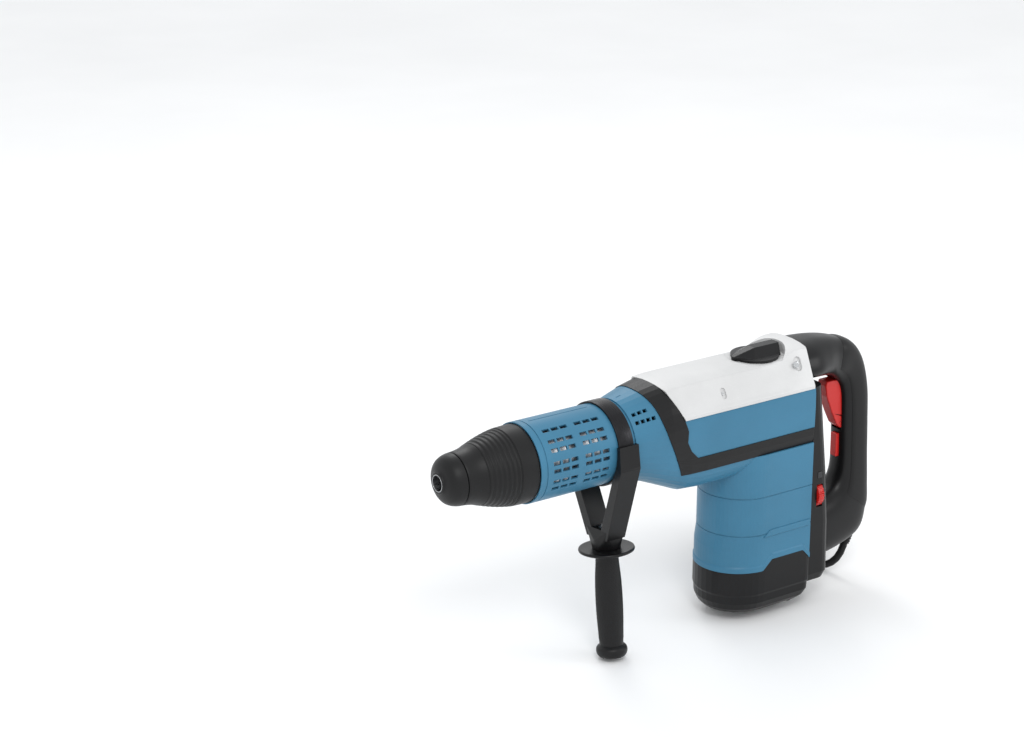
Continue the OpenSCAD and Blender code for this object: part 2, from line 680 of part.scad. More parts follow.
dust_cap();
tool_holder();
locking_rollers();
hammer_tube();
spindle_gear();
locking_sleeve();
sleeve_spring();
beat_piece();
ram();
piston();
connecting_rod();
crankshaft();
idler_gear();
barrel_cover();
barrel_housing();
front_bearing();
gearbox_housing();
front_band();
top_cover();
side_trims();
selector_knob();
motor_housing();
motor_cap();
base_pads();
gear_carrier();
crank_bearing();
motor_bracket();
rotor();
cooling_fan();
commutator();
upper_bearing();
lower_bearing();
stator();
brush_holder();
carbon_brushes();
rear_spine();
status_light();
speed_dial();
electronics_module();
rear_handle();
handle_springs();
trigger();
trigger_pin();
lock_button();
switch_module();
housing_screws();
clamp_band();
handle_bracket();
clamp_nut();
clamp_rod();
guard_disc();
side_grip();
grip_end_cap();
cord_boot();
cord_lead();
cord_coil();
power_plug();
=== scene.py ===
import json
import math

import bmesh
import bpy
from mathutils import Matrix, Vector


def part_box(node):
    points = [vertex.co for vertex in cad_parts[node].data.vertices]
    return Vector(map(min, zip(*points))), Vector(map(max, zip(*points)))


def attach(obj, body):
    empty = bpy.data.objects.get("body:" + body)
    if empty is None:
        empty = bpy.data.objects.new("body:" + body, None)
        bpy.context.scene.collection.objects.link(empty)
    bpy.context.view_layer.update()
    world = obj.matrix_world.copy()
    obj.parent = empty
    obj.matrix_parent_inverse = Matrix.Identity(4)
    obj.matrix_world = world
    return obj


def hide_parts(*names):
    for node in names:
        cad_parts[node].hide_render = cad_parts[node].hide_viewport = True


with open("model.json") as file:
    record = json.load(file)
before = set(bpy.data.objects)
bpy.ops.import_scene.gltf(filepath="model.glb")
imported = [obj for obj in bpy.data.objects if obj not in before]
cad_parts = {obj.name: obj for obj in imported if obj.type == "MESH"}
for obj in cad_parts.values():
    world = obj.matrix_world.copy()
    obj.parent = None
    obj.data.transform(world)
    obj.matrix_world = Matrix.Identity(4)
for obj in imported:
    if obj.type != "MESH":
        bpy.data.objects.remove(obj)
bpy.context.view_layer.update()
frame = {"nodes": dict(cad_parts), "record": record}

NODES = frame["nodes"]
MM = 0.001
TAU = 2 * math.pi

# Places on the tool, in millimetres.
BODY_REAR = 486
CLAMP_X = 216.0
BARREL_AXIS_TO_FLOOR = 254


# ---- camera ----

CAMERA_PLACE = (-1.3292, -2.0744, 0.9971)
CAMERA_AZIMUTH = -34.5
CAMERA_ELEVATION = 19.5
CAMERA_LENS = 87.9


def make_camera():
    """A long lens from the front left, a little above the tool."""
    azimuth, elevation = math.radians(CAMERA_AZIMUTH), math.radians(CAMERA_ELEVATION)
    back = Vector((math.sin(azimuth) * math.cos(elevation), -math.cos(azimuth) * math.cos(elevation),
                   math.sin(elevation)))
    data = bpy.data.cameras.new("camera")
    data.lens = CAMERA_LENS
    data.sensor_width = 36.0
    data.dof.use_dof = False
    camera = bpy.data.objects.new("camera", data)
    camera.location = CAMERA_PLACE
    camera.rotation_mode = "QUATERNION"
    camera.rotation_quaternion = (-back).to_track_quat("-Z", "Y")
    bpy.context.scene.collection.objects.link(camera)
    bpy.context.scene.camera = camera


make_camera()


# ---- mains cord ----

FLOOR_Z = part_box("cord_coil")[0].z
CORD_D = 9 * MM
CORD_R = CORD_D / 2
LEAD_ROUTE = [(586, 0, -211), (585, 0, -214.5), (582, 1.3, -223.5), (579.5, 5, -232), (577.3, 11, -239.2),
              (576, 18.5, -244.4), (575.5, 27.4, -247.6), (576, 37, -248.8), (578.5, 47, -248.8),
              (583, 56.5, -248.8), (589, 64.8, -248.8), (596.8, 71.2, -248.8)]
COIL_X, COIL_Y, COIL_MID_R = 550, 118, 54
COIL_C = (COIL_X * MM, COIL_Y * MM)
COIL_R = COIL_MID_R * MM
COIL_TURNS = 2.7
COIL_LAYERS = 4
TURN_STEPS = 24
CLIMB_DEG = 60
CLIMB_STEPS = 4
START_DEG = -45
TAIL_DEG = 90
TAIL_STEPS = 8
PLUG_Z = FLOOR_Z + COIL_LAYERS * CORD_D + 14 * MM


def smooth_step(t):
    return t * t * (3 - 2 * t)


def coil_route():
    """Points round the coil: each layer spirals in or out, and the cord climbs between layers."""
    spread = COIL_TURNS * CORD_R
    angle = START_DEG
    z = FLOOR_Z + CORD_R
    polar = []
    for layer in range(COIL_LAYERS):
        side = 1 if layer % 2 == 0 else -1
        steps = round(COIL_TURNS * TURN_STEPS)
        for k in range(steps + 1):
            t = k / steps
            polar.append((angle + 360 * COIL_TURNS * t, COIL_R + side * spread * (1 - 2 * t), z))
        angle += 360 * COIL_TURNS
        if layer < COIL_LAYERS - 1:
            for k in range(1, CLIMB_STEPS):
                rise = CORD_D * smooth_step(k / CLIMB_STEPS)
                polar.append((angle + CLIMB_DEG * k / CLIMB_STEPS, COIL_R - side * spread, z + rise))
            angle += CLIMB_DEG
            z += CORD_D
    for k in range(1, TAIL_STEPS + 1):
        w = smooth_step(k / TAIL_STEPS)
        polar.append((angle + TAIL_DEG * k / TAIL_STEPS, COIL_R + spread * (1 - w), z + (PLUG_Z - z) * w))
    return [(COIL_C[0] + r * math.cos(math.radians(a)), COIL_C[1] + r * math.sin(math.radians(a)), height)
            for a, r, height in polar]


def tube_mesh(name, points, radius, body, resolution=4):
    """A round wire or cord through the points, given in metres."""
    data = bpy.data.curves.new(name, "CURVE")
    data.dimensions = "3D"
    data.bevel_depth = radius
    data.bevel_resolution = resolution
    data.use_fill_caps = True
    spline = data.splines.new("POLY")
    spline.points.add(len(points) - 1)
    for slot, p in zip(spline.points, points):
        slot.co = (*p, 1)
    curve = bpy.data.objects.new(name, data)
    bpy.context.scene.collection.objects.link(curve)
    graph = bpy.context.evaluated_depsgraph_get()
    piece = bpy.data.objects.new(name, bpy.data.meshes.new_from_object(curve.evaluated_get(graph)))
    bpy.data.objects.remove(curve)
    bpy.context.scene.collection.objects.link(piece)
    piece.data.shade_smooth()
    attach(piece, body)
    return piece


CORD_POINTS = [tuple(c * MM for c in p) for p in LEAD_ROUTE] + coil_route()[1:]
CORD = tube_mesh("mains_cord", CORD_POINTS, CORD_R, "handle")
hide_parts("cord_lead", "cord_coil")


# ---- studio ----

TOOL_MIDDLE = (0.32, 0.0, -0.08)
FLOOR_HALF = 30


def area_light(name, place, target, size, power):
    """A soft square light that faces its target."""
    data = bpy.data.lights.new(name, "AREA")
    data.size = size
    data.energy = power
    light = bpy.data.objects.new(name, data)
    light.location = place
    light.rotation_mode = "QUATERNION"
    light.rotation_quaternion = (Vector(target) - Vector(place)).to_track_quat("-Z", "Y")
    bpy.context.scene.collection.objects.link(light)


def make_studio():
    """A pale floor, an even white sky and three soft lights."""
    scene = bpy.context.scene
    scene.view_settings.view_transform = "Standard"
    scene.view_settings.look = "None"
    world = bpy.data.worlds.new("studio")
    world.use_nodes = True
    world.node_tree.nodes["Background"].inputs["Color"].default_value = (0.97, 0.985, 1.0, 1)
    world.node_tree.nodes["Background"].inputs["Strength"].default_value = 1.0
    scene.world = world
    area_light("key", (-0.5, -1.5, 1.7), TOOL_MIDDLE, 0.7, 15)
    area_light("side", (1.7, -1.3, 0.7), TOOL_MIDDLE, 0.6, 4)
    area_light("back", (0.9, 1.7, 1.5), TOOL_MIDDLE, 0.8, 9)
    half = FLOOR_HALF
    mesh = bpy.data.meshes.new("floor")
    mesh.from_pydata([(-half, -half, FLOOR_Z), (half, -half, FLOOR_Z), (half, half, FLOOR_Z),
                      (-half, half, FLOOR_Z)], [], [(0, 1, 2, 3)])
    floor = bpy.data.objects.new("floor", mesh)
    scene.collection.objects.link(floor)
    mesh.materials.append(floor_material())


# ---- materials ----

class Nodes:
    """Short calls for building one material's node tree."""

    def __init__(self, name):
        self.material = bpy.data.materials.new(name)
        self.material.use_nodes = True
        self.tree = self.material.node_tree
        self.shader = self.tree.nodes["Principled BSDF"]
        self.place = self.add("ShaderNodeTexCoord").outputs["Object"]

    def add(self, kind, **values):
        made = self.tree.nodes.new(kind)
        for key, value in values.items():
            setattr(made, key, value)
        return made

    def link(self, source, target):
        self.tree.links.new(source, target)

    def noise(self, scale, detail=2.0, roughness=0.5):
        made = self.add("ShaderNodeTexNoise")
        made.inputs["Scale"].default_value = scale
        made.inputs["Detail"].default_value = detail
        made.inputs["Roughness"].default_value = roughness
        self.link(self.place, made.inputs["Vector"])
        return made.outputs["Fac"]

    def cells(self, scale):
        made = self.add("ShaderNodeTexVoronoi", feature="F1")
        made.inputs["Scale"].default_value = scale
        self.link(self.place, made.inputs["Vector"])
        return made.outputs["Distance"]

    def ramp(self, source, low, high, start=0.0, end=1.0):
        made = self.add("ShaderNodeMapRange")
        self.link(source, made.inputs["Value"])
        for key, value in (("From Min", low), ("From Max", high), ("To Min", start), ("To Max", end)):
            made.inputs[key].default_value = value
        return made.outputs["Result"]

    def math(self, operation, a, b):
        made = self.add("ShaderNodeMath", operation=operation)
        for value, target in ((a, made.inputs[0]), (b, made.inputs[1])):
            if isinstance(value, (int, float)):
                target.default_value = value
            else:
                self.link(value, target)
        return made.outputs[0]

    def mix(self, factor, a, b):
        made = self.add("ShaderNodeMix", data_type="RGBA")
        self.link(factor, made.inputs["Factor"])
        for value, target in ((a, made.inputs[6]), (b, made.inputs[7])):
            if isinstance(value, tuple):
                target.default_value = (*value, 1)
            else:
                self.link(value, target)
        return made.outputs[2]

    def edges(self, radius):
        """One on sharp edges and nought on flat faces, with the rounded normal."""
        bevel = self.add("ShaderNodeBevel", samples=6)
        bevel.inputs["Radius"].default_value = radius
        geometry = self.add("ShaderNodeNewGeometry")
        dot = self.add("ShaderNodeVectorMath", operation="DOT_PRODUCT")
        self.link(bevel.outputs["Normal"], dot.inputs[0])
        self.link(geometry.outputs["Normal"], dot.inputs[1])
        return self.ramp(dot.outputs["Value"], 1.0, 0.86), bevel.outputs["Normal"]

    def bump(self, height, strength, distance, normal=None):
        made = self.add("ShaderNodeBump")
        made.inputs["Strength"].default_value = strength
        made.inputs["Distance"].default_value = distance
        self.link(height, made.inputs["Height"])
        if normal is not None:
            self.link(normal, made.inputs["Normal"])
        return made.outputs["Normal"]

    def finish(self, colour, roughness, normal, **fixed):
        for value, key in ((colour, "Base Color"), (roughness, "Roughness"), (normal, "Normal")):
            self.link(value, self.shader.inputs[key])
        for key, value in fixed.items():
            self.shader.inputs[key.replace("_", " ")].default_value = value
        return self.material


def shade(colour, factor):
    return tuple(min(1.0, c * factor) for c in colour)


def moulded(name, colour, rough=0.45, grain=1400, depth=0.35, wear=0.35, rounding=0.7, worn=1.9, **fixed):
    """Moulded plastic or rubber: eroded grain, faint flow marks, handling sheen and rubbed edges."""
    n = Nodes(name)
    edge, soft_normal = n.edges(rounding * MM)
    flow = n.ramp(n.noise(14, 3), 0.3, 0.7)
    body = n.mix(flow, shade(colour, 0.93), shade(colour, 1.06))
    speck = n.ramp(n.noise(900, 2), 0.62, 0.75, 0, 0.35)
    body = n.mix(speck, body, shade(colour, 1.25))
    rub = n.math("MULTIPLY", n.math("MULTIPLY", edge, n.ramp(n.noise(70, 4, 0.65), 0.38, 0.62)), wear)
    body = n.mix(rub, body, shade(colour, worn))
    polish = n.ramp(n.noise(9, 4), 0.35, 0.7, rough - 0.05, rough + 0.07)
    coarse = n.math("MULTIPLY", n.cells(grain), 0.7)
    fine = n.math("MULTIPLY", n.noise(grain * 1.7, 3), 0.6)
    height = n.math("ADD", coarse, fine)
    return n.finish(body, polish, n.bump(height, depth, 0.12 * MM, soft_normal), **fixed)


def metal(name, colour, rough=0.3, grain=(40, 1600, 1600), wear=0.4, rounding=0.4):
    """Machined metal: turned or ground lines, faint stains and bright edges."""
    n = Nodes(name)
    edge, soft_normal = n.edges(rounding * MM)
    mapping = n.add("ShaderNodeMapping")
    mapping.inputs["Scale"].default_value = grain
    n.link(n.place, mapping.inputs["Vector"])
    lines = n.add("ShaderNodeTexNoise")
    lines.inputs["Scale"].default_value = 1.0
    lines.inputs["Detail"].default_value = 3.0
    n.link(mapping.outputs["Vector"], lines.inputs["Vector"])
    stain = n.ramp(n.noise(60, 4, 0.6), 0.35, 0.75)
    body = n.mix(stain, shade(colour, 1.05), shade(colour, 0.78))
    body = n.mix(n.math("MULTIPLY", edge, wear), body, shade(colour, 1.4))
    polish = n.ramp(lines.outputs["Fac"], 0.3, 0.7, rough - 0.07, rough + 0.12)
    return n.finish(body, polish, n.bump(lines.outputs["Fac"], 0.25, 0.05 * MM, soft_normal), Metallic=1.0)


def floor_material():
    """Seamless studio paper with a faint tooth."""
    n = Nodes("studio_paper")
    tone = n.mix(n.ramp(n.noise(3, 3), 0.3, 0.7), (0.90, 0.90, 0.90), (0.93, 0.93, 0.93))
    return n.finish(tone, n.ramp(n.noise(20, 2), 0.3, 0.7, 0.8, 0.9), n.bump(n.noise(700, 2), 0.05, 0.1 * MM))


BLUE = (0.045, 0.172, 0.280)
BLACK = (0.0060, 0.0060, 0.0065)
RUBBER = (0.0070, 0.0070, 0.0074)
DULL = {"Specular IOR Level": 0.26}
PALE = (0.60, 0.60, 0.598)
RED = (0.56, 0.012, 0.009)
MATERIALS = {
    "blue_plastic": moulded("blue_plastic", BLUE, 0.36, 1500, 0.30, 0.30, worn=1.5, **DULL),
    "black_plastic": moulded("black_plastic", BLACK, 0.34, 1200, 0.45, 0.5, worn=3.5, **DULL),
    "black_rubber": moulded("black_rubber", RUBBER, 0.42, 900, 0.6, 0.4, worn=3.0, **DULL),
    "pale_plastic": moulded("pale_plastic", PALE, 0.40, 1500, 0.22, 0.25, worn=0.82),
    "red_plastic": moulded("red_plastic", RED, 0.33, 1600, 0.15, 0.3, worn=1.3),
    "light": moulded("light", (0.012, 0.012, 0.014), 0.12, 1600, 0.03, 0.1, worn=1.2),
    "cord_rubber": moulded("cord_rubber", RUBBER, 0.45, 1000, 0.3, 0.1, **DULL),
    "steel": metal("steel", (0.56, 0.57, 0.58), 0.30),
    "black_steel": metal("black_steel", (0.030, 0.030, 0.032), 0.30, (900, 60, 60), 0.6),
    "alloy": metal("alloy", (0.72, 0.73, 0.75), 0.42, (500, 500, 500), 0.2),
    "copper": metal("copper", (0.70, 0.31, 0.14), 0.30, (60, 60, 1800), 0.3),
}


def dress(piece, slot_name):
    """Gives a piece the finish of one of the record's slots."""
    piece.data.materials.clear()
    piece.data.materials.append(MATERIALS[slot_name])
    return piece


SLOT_OF = {entry["node"]: entry["material_slot"] for entry in frame["record"]["subparts"]}
for node_name, node in NODES.items():
    for k in range(max(1, len(node.material_slots))):
        if not node.material_slots:
            node.data.materials.append(None)
        node.material_slots[k].material = MATERIALS[SLOT_OF[node_name]]
make_studio()
CORD.data.materials.append(MATERIALS["cord_rubber"])


# ---- mesh helpers (sizes in millimetres) ----

def mesh_piece(name, points, faces, body, slot_name, replaced=(), crease=35):
    """A mesh from points in millimetres that rides a body and is smooth but for its creases."""
    mesh = bpy.data.meshes.new(name)
    mesh.from_pydata([(x * MM, y * MM, z * MM) for x, y, z in points], [], faces)
    mesh.validate()
    piece = bpy.data.objects.new(name, mesh)
    bpy.context.scene.collection.objects.link(piece)
    if body:
        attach(piece, body)
        dress(piece, slot_name)
    if replaced:
        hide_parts(*replaced)
    smooth(piece, crease)
    return piece


def smooth(piece, crease):
    """Smooth shading, but for edges sharper than the crease angle in degrees."""
    piece.data.shade_smooth()
    piece.data.set_sharp_from_angle(angle=math.radians(crease))


def ring_faces(rings, count, closed=False):
    """Quads between rings of equal length, with end caps or as a closed loop."""
    faces = []
    for r in range(rings if closed else rings - 1):
        for i in range(count):
            a, b = r * count, ((r + 1) % rings) * count
            j = (i + 1) % count
            faces.append((a + i, b + i, b + j, a + j))
    if not closed:
        faces.append(tuple(range(count)))
        faces.append(tuple((rings - 1) * count + i for i in reversed(range(count))))
    return faces


def loft(name, rings, body=None, slot_name=None, replaced=(), closed=False, crease=35):
    """A skin over rings of points; without a body it is a plain mesh for cutting."""
    points = [p for ring in rings for p in ring]
    faces = ring_faces(len(rings), len(rings[0]), closed)
    piece = mesh_piece(name, points, faces, body, slot_name, replaced, crease)
    outward(piece)
    return piece


def outward(piece):
    """Turns a closed mesh's faces outward."""
    work = bmesh.new()
    work.from_mesh(piece.data)
    bmesh.ops.recalc_face_normals(work, faces=work.faces)
    work.to_mesh(piece.data)
    work.free()


def lathe(name, profile, place, body, slot_name, replaced=(), steps=96, crease=35, relief=None):
    """Turns a closed profile of (along, radius) points; place maps (along, y, z) to the part's frame."""
    rings = []
    for i in range(steps):
        a = TAU * i / steps
        ring = []
        for along, radius in profile:
            r = radius + (relief(along, a) if relief and radius > 1 else 0)
            ring.append(place(along, r * math.cos(a), r * math.sin(a)))
        rings.append(ring)
    return loft(name, rings, body, slot_name, replaced, closed=True, crease=crease)


def along_x(along, y, z):
    return (along, y, z)


def box_tool(low, high):
    """A plain box for cutting."""
    (x0, y0, z0), (x1, y1, z1) = low, high
    return loft("tool", [[(x, y0, z0), (x, y1, z0), (x, y1, z1), (x, y0, z1)] for x in (x0, x1)])


def post_tool(x, y, z0, z1, radius, steps=72):
    """An upright cylinder for cutting."""
    return loft("tool", [[(x + radius * math.cos(TAU * i / steps), y + radius * math.sin(TAU * i / steps), z)
                          for i in range(steps)] for z in (z0, z1)])


def side_tool(outline, reach=80):
    """An XZ outline carried across the tool."""
    return loft("tool", [[(x, y, z) for x, z in outline] for y in (-reach, reach)])


def carve(piece, tools, operation="DIFFERENCE"):
    """Boolean steps, applied at once."""
    for tool in tools:
        step = piece.modifiers.new("carve", "BOOLEAN")
        step.object = tool
        step.operation = operation
        step.solver = "EXACT"
    graph = bpy.context.evaluated_depsgraph_get()
    mesh = bpy.data.meshes.new_from_object(piece.evaluated_get(graph))
    piece.modifiers.clear()
    piece.data = mesh
    for tool in tools:
        bpy.data.objects.remove(tool)
    return piece


def adopt(piece, name, body, slot_name, replaced, crease):
    """Names a carved mesh and gives it its body and finish."""
    piece.name = name
    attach(piece, body)
    dress(piece, slot_name)
    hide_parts(*replaced)
    smooth(piece, crease)


def sign_power(value, power):
    return math.copysign(abs(value) ** power, value)


def through(rows, per):
    """Extra rows on a smooth curve through the given ones."""
    out = []
    for i in range(len(rows) - 1):
        a, b, c, d = rows[max(i - 1, 0)], rows[i], rows[i + 1], rows[min(i + 2, len(rows) - 1)]
        for k in range(per):
            t = k / per
            out.append(tuple(0.5 * (2 * q + (r - p) * t + (2 * p - 5 * q + 4 * r - s) * t * t
                                    + (3 * q - p - 3 * r + s) * t ** 3)
                             for p, q, r, s in zip(a, b, c, d)))
    out.append(tuple(rows[-1]))
    return out


def at(table, x):
    """Straight-line lookup in a list of (x, value) pairs."""
    for (x0, v0), (x1, v1) in zip(table, table[1:]):
        if x <= x1:
            return v0 + (v1 - v0) * max(0.0, (x - x0) / (x1 - x0))
    return table[-1][1]


# ---- nose and locking sleeve ----

def make_nose():
    """The rubber dust cap, with a rolled lip and a shut line before the sleeve."""
    face = [(0.0, 9.7), (0.0, 11.2), (0.5, 12.0), (1.6, 12.3), (2.2, 13.4), (3.0, 15.6)]
    dome = through([(3.0, 15.6), (4.8, 20.2), (8.2, 24.6), (12.6, 27.2), (17.0, 28.6), (20.8, 29.3)],
                   5)[1:]
    back = [(21.3, 28.9), (21.4, 28.0), (21.4, 18.2), (9.3, 18.2), (9.3, 9.7)]
    lathe("nose_cap", face + dome + back, along_x, "spindle", "black_rubber", ["dust_cap"])


SLEEVE_LINE = [(22.2, 29.3), (30, 30.1), (38, 31.6), (46, 34.4), (56, 37.6), (66, 40.3), (76, 42.4),
               (86, 43.6), (103.6, 44.0)]
RIDGES_FROM, RIDGE_PITCH, RIDGE_COUNT = 45.0, 5.3, 7
RIDGE_DEPTH = 1.15
RIDGE_DROP = 0.3


def ridge(x):
    """A rounded step: a slow climb and a short drop, once per pitch."""
    t = (x - RIDGES_FROM) / RIDGE_PITCH
    if not 0 <= t < RIDGE_COUNT:
        return 0.0
    u = t % 1.0
    if u < RIDGE_DROP:
        return -RIDGE_DEPTH * smooth_step(1 - u / RIDGE_DROP)
    return -RIDGE_DEPTH * smooth_step((u - RIDGE_DROP) / 0.7) * 0.9


def make_sleeve():
    """The locking sleeve: a rubber cone with seven finger ridges."""
    skin = [(22.2, 27.6), (22.5, 29.0)]
    x = 23.2
    line = through(SLEEVE_LINE, 8)
    ridges_to = RIDGES_FROM + RIDGE_COUNT * RIDGE_PITCH
    fine_step, coarse_step = 0.75, 2.4
    while x < 103.0:
        skin.append((x, at(line, x) + ridge(x)))
        x += fine_step if RIDGES_FROM - 2 < x < ridges_to + 1 else coarse_step
    rear = [(103.2, 43.9), (103.6, 43.4), (103.6, 39.0), (84.0, 38.0), (58.0, 27.0), (40.0, 27.0),
            (40.0, 18.8), (22.2, 18.8)]
    lathe("sleeve_grip", skin + rear, along_x, "sleeve", "black_rubber", ["locking_sleeve"], steps=128)


make_nose()
make_sleeve()


# ---- rear handle ----

HANDLE_ROWS = [(480, 26, 480, 68.2, 48, 0.36), (502, 25, 502, 68, 47, 0.36), (522, 21, 524, 67, 37, 0.3),
               (541, 15, 547, 62.5, 25, 0.15), (555, 5, 573, 52, 19.5, 0), (561, -8, 591, 30, 18, 0),
               (563, -28, 601, -6, 18, 0), (564, -55, 604, -50, 18, 0), (565, -90, 606, -92, 18, 0),
               (563, -112, 608, -130, 19, 0), (556, -125, 608, -162, 21, 0), (545, -133, 596, -193, 24, 0),
               (530, -139, 556, -208, 26, 0), (506, -141, 506, -214, 27, 0)]
HANDLE_SIDES = 64
HANDLE_STEPS = 7
HANDLE_SQUARE = 0.72


def handle_point(row, angle, proud=0.0):
    """A point round one row: inner point, outer point, half width and how much the outer side narrows."""
    ix, iz, ox, oz, half, taper = row
    dx, dz = (ox - ix) / 2, (oz - iz) / 2
    scale = 1 + proud / math.hypot(dx, dz)
    u = sign_power(math.cos(angle), HANDLE_SQUARE)
    width = (half * (1 - taper * (1 + u) / 2) + proud) * sign_power(math.sin(angle), HANDLE_SQUARE)
    return ((ix + ox) / 2 + dx * u * scale, width, (iz + oz) / 2 + dz * u * scale)


def make_handle():
    """The handle's plastic shell, open where the trigger and the lock button sit."""
    rows = through(HANDLE_ROWS, HANDLE_STEPS)
    rings = [[handle_point(row, TAU * i / HANDLE_SIDES) for i in range(HANDLE_SIDES)] for row in rows]
    shell = loft("shell", rings)
    carve(shell, [box_tool((536, -8.4, -58), (574, 8.4, 15)), box_tool((552, -5.4, -93), (572, 5.4, -63)),
                  box_tool((571.6, -7.4, -94.4), (577.6, 7.4, -61.6))])
    adopt(shell, "handle_shell", "handle", "black_plastic", ["rear_handle"], crease=40)


def make_overmould():
    """A soft pad that wraps the back and sides of the grip, standing a little proud."""
    rows = through(HANDLE_ROWS, HANDLE_STEPS)[23:72]
    spread = math.radians(112)
    across = 40
    height, depth = 1.1, 1.2
    outer_angles = [-spread + 2 * spread * i / across for i in range(across + 1)]
    rings = []
    for k, row in enumerate(rows):
        end = min(k, len(rows) - 1 - k)
        proud = height * min(1.0, (end + 0.3) / 2.0)
        ring = [handle_point(row, a, proud * min(1.0, (min(i, across - i) + 0.25) / 1.5))
                for i, a in enumerate(outer_angles)]
        ring += [handle_point(row, a, -depth) for a in reversed(outer_angles)]
        rings.append(ring)
    loft("grip_overmould", rings, "handle", "black_rubber", crease=50)


make_handle()
make_overmould()


# ---- top cover ----

SELECTOR = (434.0, 58.5)
WELL_R = 34.5
KNOB_HOLE_R = 12.3
COVER_FRONT = 262
COVER_BASE = 23
COVER_LIP_TOP = 28
COVER_WALL = 3
COVER_HALF = [(50, COVER_BASE), (50, 26.4), (49.5, 27.6), (47.2, 29.8), (46.2, 31.2), (32.6, 54.6),
              (31.4, 56.4), (29.6, 57.4), (20, 59.0), (8, 59.9)]
BODY_LINE = [(COVER_FRONT, 0.90), (275, 0.955), (290, 0.99), (308, 1.0), (BODY_REAR, 1.0)]
HUMP_LINE = [(COVER_FRONT, 0), (436, 0), (446, 0.12), (456, 0.55), (464, 0.86), (472, 0.98), (BODY_REAR, 1.0)]
HUMP_RISE = 12.0
# Recesses with screws on each side: x, across, height, lean, long, wide, deep, screw size.
COVER_RECESSES = [(467, 37.5, 52.9, 24, 17, 9.5, 2.2, 6.4), (356, 40.7, 40.7, 30, 13, 6.5, 1.7, 4.6)]


def cover_ring(x, inset):
    """The cover's section at x, drawn in by the inset; it grows toward the back and rises in the hump."""
    grow = at(BODY_LINE, x)
    lift = 1 + HUMP_RISE * at(HUMP_LINE, x) / 37
    spread = 0.96 + 0.04 * min(1, (x - 230) / 50)
    half = []
    for y, z in COVER_HALF:
        above_lip = z > COVER_LIP_TOP
        height = COVER_BASE + (z * grow - COVER_BASE) * lift if above_lip else z
        half.append((y * spread - inset, height - (inset if above_lip else inset * 0.4)))
    ring = [(x, y, z) for y, z in half] + [(x, -y, z) for y, z in reversed(half)]
    return ring + [(x, -half[0][0], 18), (x, half[0][0], 18)]


def oval_tool(x, side, across_y, z, lean, length, width, depth):
    """A stadium cutter on the cover's sloping side, longer down the slope."""
    lean = math.radians(lean)
    normal = (0, side * math.cos(lean), math.sin(lean))
    down = (0, side * math.sin(lean), -math.cos(lean))
    rings = []
    for reach in (-depth, 8):
        ring = []
        for i in range(32):
            a = TAU * i / 32
            u = width / 2 * math.cos(a)
            v = width / 2 * math.sin(a) + math.copysign((length - width) / 2, math.sin(a))
            ring.append((x + u, side * across_y + normal[1] * reach + down[1] * v,
                         z + normal[2] * reach + down[2] * v))
        rings.append(ring)
    return loft("tool", rings)


def make_cover():
    """The pale top cover: a flat back, creased shoulders, a hump and the selector's well."""
    stations = ([COVER_FRONT + 4 * i for i in range(12)] + [320, 350, 380, 410, 430]
                + [436 + 3 * i for i in range(17)])
    cover = loft("cover", [cover_ring(x, 0) for x in stations])
    inner_stations = [COVER_FRONT - 4] + stations[1:-1] + [BODY_REAR - COVER_WALL]
    carve(cover, [loft("tool", [cover_ring(x, COVER_WALL) for x in inner_stations])])
    plate = post_tool(SELECTOR[0], 0, SELECTOR[1] - 3.2, 90, WELL_R + 2.6)
    carve(plate, [loft("tool", [cover_ring(x, 0.02) for x in stations])], "INTERSECT")
    carve(cover, [plate], "UNION")
    outline = [(275, 70), (286, 43), (294, 27), (296, COVER_BASE), (BODY_REAR, COVER_BASE), (BODY_REAR, 90),
               (271, 90)]
    carve(cover, [side_tool(outline)], "INTERSECT")
    tools = [post_tool(SELECTOR[0], 0, SELECTOR[1] - 0.2, 95, WELL_R),
             post_tool(SELECTOR[0], 0, 40, 95, KNOB_HOLE_R)]
    for side in (-1, 1):
        for x, y, z, lean, length, width, depth, _ in COVER_RECESSES:
            tools.append(oval_tool(x, side, y, z, lean, length, width, depth))
    carve(cover, tools)
    adopt(cover, "top_shell", "root", "pale_plastic", ["top_cover"], crease=14)
    for side, tag in ((-1, "near"), (1, "far")):
        for x, y, z, lean, _, _, _, screw_size in COVER_RECESSES:
            lean = math.radians(lean)
            normal = (0, side * math.cos(lean), math.sin(lean))
            screw_head(f"cover_screw_{tag}_{x}", (x, side * y, z), normal, screw_size)


SCREW_SIDES = 36


def screw_head(name, place, normal, width):
    """A pan-head screw with a six-lobed socket, sunk in its recess."""
    normal = Vector(normal).normalized()
    side = normal.cross(Vector((1, 0, 0))).normalized()
    front = side.cross(normal)
    radius = width / 2

    def ring(depth, radius_at):
        points = []
        for i in range(SCREW_SIDES):
            a = TAU * i / SCREW_SIDES
            spoke = side * math.cos(a) + front * math.sin(a)
            points.append((Vector(place) + normal * depth + spoke * radius_at(a))[:])
        return points

    profile = [(-3.4, radius), (-1.6, radius), (-1.1, radius * 0.86), (-0.9, radius * 0.5)]
    rings = [ring(depth, lambda a, r=r: r) for depth, r in profile]
    rings += [ring(depth, lambda a: radius * (0.42 + 0.06 * math.cos(6 * a))) for depth in (-0.9, -2.4)]
    loft(name, rings, "root", "steel")


make_cover()


# ---- motor ----

MOTOR_X, MOTOR_R, MOTOR_SWELL = 418.0, 49.5, 3.2
CAP_Z, CAP_STEP_Z = -188, -176
CAP_LINE = [(360, CAP_Z), (415, CAP_Z), (428, CAP_STEP_Z), (475, CAP_STEP_Z), (BODY_REAR, CAP_Z)]
FLAT_POINTS = 34


